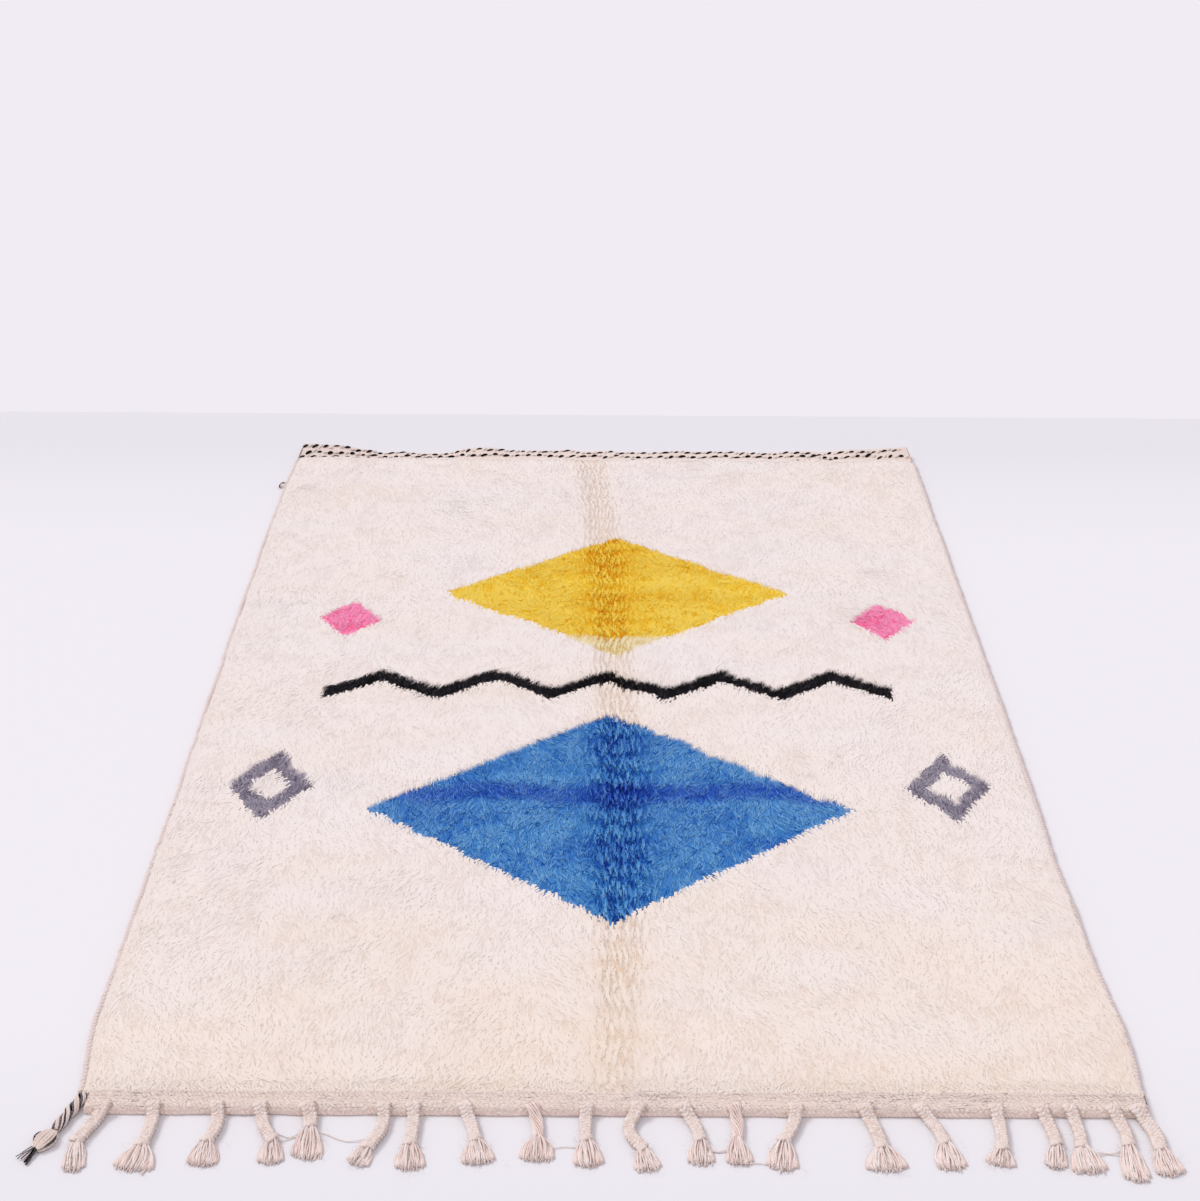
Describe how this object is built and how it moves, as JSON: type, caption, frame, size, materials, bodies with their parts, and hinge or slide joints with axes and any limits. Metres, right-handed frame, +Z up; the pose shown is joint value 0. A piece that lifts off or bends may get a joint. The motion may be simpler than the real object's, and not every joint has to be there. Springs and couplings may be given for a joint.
{
  "type": "beni ourain rug",
  "caption": "Hand-knotted ivory shag wool rug with coloured lozenges, a braided fringe at one end and a dashed twined heading at the other.",
  "frame": {"origin": "middle of the footprint, on the floor that the rug lies on", "axes": "+Y runs along the rug from the braided fringe to the twined heading, +X across it, +Z up out of the pile"},
  "size_m": [1.749, 2.6618, 0.024],
  "materials": {
    "wool_pile": "long matted wool shag with a soft sheen",
    "woven_wool": "undyed slubby wool weave and plaited warp ends",
    "twined_wool": "ivory twining with staggered black dashes",
    "overcast_wool": "yarn wound closely over a side cord",
    "twisted_wool": "two-ply twist of black and ivory yarn"
  },
  "bodies": {
    "root": {"pile_field": "wool_pile", "near_heading_fringe": "woven_wool", "far_heading": "twined_wool", "selvedge_left": "overcast_wool", "selvedge_right": "overcast_wool", "corner_tassel": "twisted_wool"}
  },
  "joints": []
}
